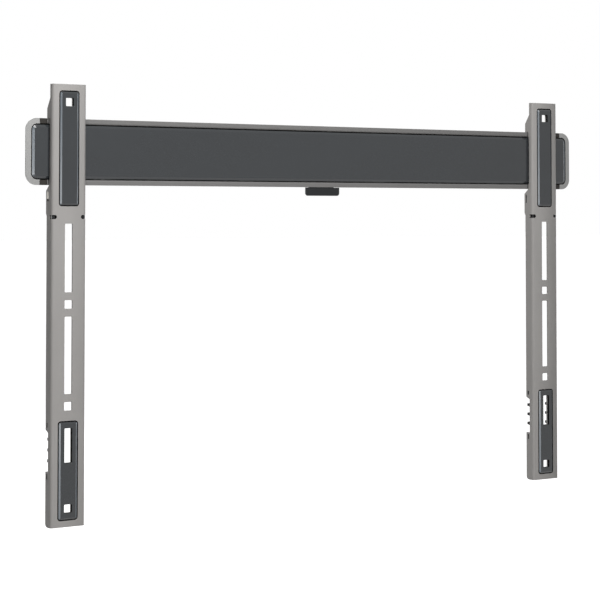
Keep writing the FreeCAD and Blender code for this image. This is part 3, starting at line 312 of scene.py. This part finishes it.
def moulded(name, base, roughness, rub_and_highlight=1.9, gloss=0.5, bevel_highlight=None):
    """Moulded plastic: spark-eroded grain, pores, faint flow clouds, edges polished by handling.

    rub_and_highlight is how much lighter an edge that shows wear is than the base colour; on the pads it
    also stands for a painted highlight along the edges. With bevel_highlight, the upright bevels get a
    painted highlight that much lighter as well, and the walls behind them get black painted shade.
    """
    made = Finish(name)
    grain = made.noise(grain_mm=0.30)
    pores = made.spread(made.noise(grain_mm=0.96, detail=3.0), 0.0, 0.45, start=0.50, stop=0.72)
    cloud = made.spread(made.noise(grain_mm=55.0, squeeze=(0.4, 1.0, 1.0)), 0.0, 1.0)
    scuffs = made.spread(made.noise(grain_mm=2.2, detail=4.0), 0.15, 0.7, start=0.42, stop=0.68)
    smears = made.noise(grain_mm=9.0, detail=4.0)
    rounded, rim = made.edges(radius_mm=0.30)
    worn_and_highlit = made.maths("MULTIPLY", rim, scuffs)
    unshaded = made.unshaded_share(reach_mm=2.0)
    tone = made.blend(cloud, rgba(base, 0.95), rgba(base, 1.05))
    tone = made.blend(pores, tone, rgba(base, 1.12))
    # Edges that show wear are lightened; on the pads the strong factor also paints a highlight along them.
    tone = made.blend(worn_and_highlit, tone, rgba(base, rub_and_highlight))
    if bevel_highlight is not None:
        # Painted highlight on the upright bevels, and black painted shade on the walls behind them.
        tone = made.blend(made.leaning("X", start=0.30, stop=0.46), tone, rgba(base, bevel_highlight))
        unshaded = made.maths("MULTIPLY", unshaded, made.leaning("Y", start=0.30, stop=0.62))
    # Painted shade: where other surfaces shut the plastic in, it is blended to black, and its reflection is
    # turned down below.
    tone = made.blend(unshaded, PAINTED_SHADE_BLACK, tone)
    rough = made.spread(smears, roughness - 0.035, roughness + 0.045)
    rough = made.maths("SUBTRACT", rough, made.maths("MULTIPLY", worn_and_highlit, 0.12))
    return made.set(Base_Color=tone, Roughness=rough,
                    Normal=made.bump(grain, depth_mm=0.010, normal=rounded),
                    Specular_IOR_Level=made.maths("MULTIPLY", unshaded, gloss))


def plated(name, base):
    """Zinc-plated pressed steel: rolled streaks, faint yellowish bloom, bright sheared edges."""
    made = Finish(name)
    streaks = made.noise(grain_mm=0.9, detail=4.0, squeeze=(1.0, 1.0, 0.06))
    bloom = made.spread(made.noise(grain_mm=4.5, detail=3.0), 0.0, 1.0)
    rounded, rim = made.edges(radius_mm=0.20)
    yellowish = (base[0], base[1], base[2] * 0.96)
    tone = made.blend(bloom, rgba(base, 0.93), rgba(yellowish, 1.05))
    tone = made.blend(made.maths("MULTIPLY", rim, 0.5), tone, rgba(base, 1.3))
    return made.set(Base_Color=tone, Roughness=made.spread(streaks, 0.28, 0.42), Metallic=1.0,
                    Normal=made.bump(streaks, depth_mm=0.004, normal=rounded))


def drawn_wire(name, base):
    """Drawn spring wire: fine die lines and a faint bloom."""
    made = Finish(name)
    lines = made.noise(grain_mm=0.12, squeeze=(1.0, 1.0, 3.0))
    bloom = made.spread(made.noise(grain_mm=1.8), 0.0, 1.0)
    tone = made.blend(bloom, rgba(base, 0.85), rgba(base, 1.08))
    return made.set(Base_Color=tone, Roughness=made.spread(lines, 0.22, 0.36), Metallic=1.0,
                    Normal=made.bump(lines, depth_mm=0.002))


def pale_floor(name):
    """Matt floor that shows as white far off and as nearly white, with the shadow, near the middle."""
    made = Finish(name)
    mottle = made.spread(made.noise(grain_mm=400.0), 0.0, 1.0)
    away = made.node("ShaderNodeVectorMath", {0: made.place}, operation="LENGTH").outputs["Value"]
    glow = made.spread(away, 0.90, 1.0, start=0.7, stop=2.6)
    return made.set(Base_Color=made.blend(mottle, (0.40, 0.40, 0.40, 1.0), (0.42, 0.42, 0.42, 1.0)),
                    Roughness=0.9, Specular_IOR_Level=0.2, Emission_Color=WHITE,
                    Emission_Strength=made.maths("MULTIPLY", made.seen_directly(), glow))


def dress(material, *nodes):
    """Give CAD nodes a material."""
    for name in nodes:
        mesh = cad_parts[name].data
        mesh.materials.clear()
        mesh.materials.append(material)


def pair(stem):
    return [f"{stem}_{side}" for side in SIDES]


def add_object(name, data):
    """An object in the scene that holds a mesh, a lamp or a camera."""
    made = bpy.data.objects.new(name, data)
    bpy.context.scene.collection.objects.link(made)
    return made


def grid_mesh(name, points):
    """A quad mesh from an array of points, rows by columns.

    The columns close on themselves, and one polygon closes each of the first and last rows.
    """
    rows, columns, _ = points.shape
    row = np.arange(rows - 1)[:, None] * columns
    column = np.arange(columns)[None, :]
    beside = (column + 1) % columns
    quads = np.stack([row + column, row + beside, row + columns + beside, row + columns + column], axis=-1)
    first = list(range(columns))
    last = [(rows - 1) * columns + corner for corner in first]
    mesh = bpy.data.meshes.new(name)
    mesh.from_pydata(points.reshape(-1, 3).tolist(), [], quads.reshape(-1, 4).tolist() + [first[::-1], last])
    mesh.validate()
    return mesh


def coil_mesh(name, centre, low, high, mean_radius, spring):
    """Round wire along a coil with closed ends.

    The wire's middle is at (radius cos a, radius sin a) from the axis, for a from 0 to the turns times
    a full circle. Its height climbs by one wire for each closed turn at both ends and evenly between,
    and a short running mean softens the change. Round it, at an angle b, the surface stands off by the
    wire's radius times cos b along the coil's radius and sin b up.
    """
    thick = spring.wire / 2
    places = spring.turns * spring.steps + 1
    share_along = np.linspace(0.0, 1.0, places)
    turn = share_along * spring.turns * 2 * math.pi
    bottom, top = low + thick, high - thick
    climb = spring.wire * spring.turns * spring.closed
    height = np.interp(share_along, [0.0, spring.closed, 1.0 - spring.closed, 1.0],
                       [bottom, bottom + climb, top - climb, top])
    soft = np.hanning(spring.steps // 2 + 3)
    padded = np.pad(height, len(soft) // 2, mode="edge")
    out = np.stack([np.cos(turn), np.sin(turn), np.zeros(places)], axis=-1)
    middle = np.array([centre[0], centre[1], 0.0]) + mean_radius * out
    middle[:, 2] = np.convolve(padded, soft / soft.sum(), mode="valid")[:places]
    around = np.linspace(0.0, 2 * math.pi, spring.ring, endpoint=False)
    up = np.array([0.0, 0.0, 1.0])
    offset = np.cos(around)[None, :, None] * out[:, None, :] + np.sin(around)[None, :, None] * up
    mesh = grid_mesh(name, middle[:, None, :] + thick * offset)
    mesh.polygons.foreach_set("use_smooth", np.ones(len(mesh.polygons), dtype=bool))
    return mesh


def outward(azimuth, elevation):
    """The direction at an azimuth, from straight out of the wall towards +X, and an elevation."""
    level = math.cos(elevation)
    return Vector((math.sin(azimuth) * level, -math.cos(azimuth) * level, math.sin(elevation)))


def looking_back(direction):
    """The turn of a lamp or camera that looks against a direction, with its top up."""
    return (-direction).to_track_quat("-Z", "Y").to_euler()


class BRACKET_OT_rail(bpy.types.Operator):
    """Paint the wall rail"""
    bl_idname = "bracket.rail"
    bl_label = "Wall rail"

    def execute(self, context):
        dress(powder_coat("rail_powder_coat", pick("bracket_finishes").rail_paint), "wall_rail")
        return {"FINISHED"}


class BRACKET_OT_cover(bpy.types.Operator):
    """Finish the rail's cover"""
    bl_idname = "bracket.cover"
    bl_label = "Rail cover"

    def execute(self, context):
        look = pick("bracket_finishes")
        # The cover's upright bevels carry a painted highlight, and the walls behind them black painted
        # shade.
        dress(moulded("cover_anthracite", look.anthracite, look.cover_roughness, **GLOSS_AND_BEVEL_HIGHLIGHT), "rail_cover")
        return {"FINISHED"}


class BRACKET_OT_caps(bpy.types.Operator):
    """Finish the end caps and the dark stops beside them"""
    bl_idname = "bracket.caps"
    bl_label = "End caps and stops"

    def execute(self, context):
        look = pick("bracket_finishes")
        dress(moulded("cap_grey", look.cap_grey, roughness=0.42, rub_and_highlight=1.3, gloss=0.15), *pair("end_cap"))
        dress(moulded("stop_brown", look.stop_brown, roughness=0.45, rub_and_highlight=2.0, gloss=0.2),
              *pair("end_stop"))
        return {"FINISHED"}


class BRACKET_OT_tab(bpy.types.Operator):
    """Finish the tab under the middle of the rail"""
    bl_idname = "bracket.tab"
    bl_label = "Centre tab"

    def execute(self, context):
        tab_grey = pick("bracket_finishes").tab_grey
        dress(moulded("tab_grey", tab_grey, roughness=0.32, gloss=0.25), "centre_tab")
        return {"FINISHED"}


class BRACKET_OT_arms(bpy.types.Operator):
    """Paint the two arms"""
    bl_idname = "bracket.arms"
    bl_label = "Arms"

    def execute(self, context):
        low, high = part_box("arm_right")
        paint = pick("bracket_finishes").arm_paint
        dress(powder_coat("arm_powder_coat", paint, crown_at=(low.x + high.x) / 2), *pair("arm"))
        return {"FINISHED"}


class BRACKET_OT_pads(bpy.types.Operator):
    """Finish the pads in the arms' recesses"""
    bl_idname = "bracket.pads"
    bl_label = "Pads"

    def execute(self, context):
        look = pick("bracket_finishes")
        # The pads' edges are lightened far beyond wear alone: partly wear, partly a painted highlight; their
        # upright bevels carry a painted highlight too, and the walls behind them black painted shade.
        dress(moulded("pad_anthracite", look.anthracite, look.pad_roughness, rub_and_highlight=5.0, **GLOSS_AND_BEVEL_HIGHLIGHT),
              *pair("upper_pad"), *pair("lower_pad"))
        return {"FINISHED"}


class BRACKET_OT_inserts(bpy.types.Operator):
    """Finish the black comb inserts and latch guides"""
    bl_idname = "bracket.inserts"
    bl_label = "Comb inserts and latch guides"

    def execute(self, context):
        black = pick("bracket_finishes").black
        dress(moulded("insert_black", black, roughness=0.48, rub_and_highlight=2.4, gloss=0.2),
              *pair("comb_insert"), *pair("latch_guide"))
        return {"FINISHED"}


class BRACKET_OT_latches(bpy.types.Operator):
    """Plate the two latches"""
    bl_idname = "bracket.latches"
    bl_label = "Latches"

    def execute(self, context):
        dress(plated("latch_zinc", pick("bracket_finishes").zinc), *pair("latch"))
        return {"FINISHED"}


class BRACKET_OT_springs(bpy.types.Operator):
    """Coil the two latch springs"""
    bl_idname = "bracket.springs"
    bl_label = "Latch springs"

    def execute(self, context):
        spring = pick("bracket_springs")
        wire = drawn_wire("spring_wire", pick("bracket_finishes").wire)
        for side in SIDES:
            node = f"latch_spring_{side}"
            name = f"coil_{side}"
            low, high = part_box(node)
            centre = (low + high) / 2
            mean_radius = (high.x - low.x - spring.wire) / 2
            coil = add_object(name, coil_mesh(name, centre, low.z, high.z, mean_radius, spring))
            coil.data.materials.append(wire)
            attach(coil, "bracket")
            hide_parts(node)
            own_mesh(coil)
        return {"FINISHED"}


class BRACKET_OT_stage(bpy.types.Operator):
    """Set the floor, surroundings, lamps and camera"""
    bl_idname = "bracket.stage"
    bl_label = "Stage"

    def execute(self, context):
        stage = pick("bracket_stage")
        context.scene.view_settings.view_transform = "Standard"
        low, high = CAD_BOX
        self.lay_floor(low.z - stage.floor_drop)
        self.light_surroundings(stage.ambient)
        for lamp in LAMPS:
            self.hang(lamp, (low + high) / 2)
        self.place_camera(stage)
        return {"FINISHED"}

    def lay_floor(self, height):
        reach = FLOOR_REACH
        corners = [(-reach, -reach, height), (reach, -reach, height),
                   (reach, reach, height), (-reach, reach, height)]
        mesh = bpy.data.meshes.new("floor")
        mesh.from_pydata(corners, [], [(0, 1, 2, 3)])
        mesh.materials.append(pale_floor("pale_floor"))
        add_object("floor", mesh)

    def light_surroundings(self, ambient):
        """White where it is seen, straight or in a reflection, and dim where it lights matt surfaces."""
        world = bpy.data.worlds.new("surroundings")
        bpy.context.scene.world = world
        world.use_nodes = True
        sky = world.node_tree.nodes["Background"].inputs
        made = Nodes(world.node_tree)
        made.feed(sky["Color"], WHITE)
        made.feed(sky["Strength"], made.spread(made.seen_directly(), ambient, 1.0, start=0.0, stop=1.0))

    def hang(self, lamp, aim):
        light = bpy.data.lights.new(lamp.name, "AREA")
        light.shape = "RECTANGLE"
        light.size = lamp.width
        light.size_y = lamp.height
        light.energy = lamp.watts
        light.color = lamp.tint
        direction = outward(math.radians(lamp.azimuth_deg), math.radians(lamp.elevation_deg))
        holder = add_object(lamp.name, light)
        holder.location = aim + direction * lamp.distance
        holder.rotation_euler = looking_back(direction)

    def place_camera(self, stage):
        view = bpy.data.cameras.new("camera")
        view.lens = stage.lens_mm
        view.sensor_width = SENSOR_WIDTH_MM
        view.shift_y = stage.shift_up
        camera = add_object("camera", view)
        camera.location = stage.camera_place
        camera.rotation_euler = looking_back(outward(stage.camera_azimuth, stage.camera_elevation))
        bpy.context.scene.camera = camera


class BRACKET_PT_panel(bpy.types.Panel):
    """Steps that make the bracket"""
    bl_idname = "BRACKET_PT_panel"
    bl_label = "Wall bracket"
    bl_space_type = "VIEW_3D"
    bl_region_type = "UI"
    bl_category = "Bracket"

    def draw(self, context):
        layout = self.layout
        for operator in OPERATORS:
            layout.operator(operator.bl_idname)
        for group in GROUPS:
            settings = getattr(context.scene, group)
            box = layout.box()
            for name in settings.__annotations__:
                box.prop(settings, name)


GROUPS = {
    "bracket_finishes": BracketFinishes,
    "bracket_springs": BracketSprings,
    "bracket_stage": BracketStage,
}
OPERATORS = (
    BRACKET_OT_rail, BRACKET_OT_cover, BRACKET_OT_caps, BRACKET_OT_tab, BRACKET_OT_arms, BRACKET_OT_pads,
    BRACKET_OT_inserts, BRACKET_OT_latches, BRACKET_OT_springs, BRACKET_OT_stage,
)


def register():
    for group in GROUPS.values():
        bpy.utils.register_class(group)
    for operator in OPERATORS:
        bpy.utils.register_class(operator)
    bpy.utils.register_class(BRACKET_PT_panel)
    for name, group in GROUPS.items():
        setattr(bpy.types.Scene, name, PointerProperty(type=group))


def unregister():
    for name in GROUPS:
        delattr(bpy.types.Scene, name)
    bpy.utils.unregister_class(BRACKET_PT_panel)
    for operator in reversed(OPERATORS):
        bpy.utils.unregister_class(operator)
    for group in reversed(list(GROUPS.values())):
        bpy.utils.unregister_class(group)


def main():
    register()
    for operator in OPERATORS:
        group, name = operator.bl_idname.split(".")
        getattr(getattr(bpy.ops, group), name)()


if __name__ == "__main__":
    main()
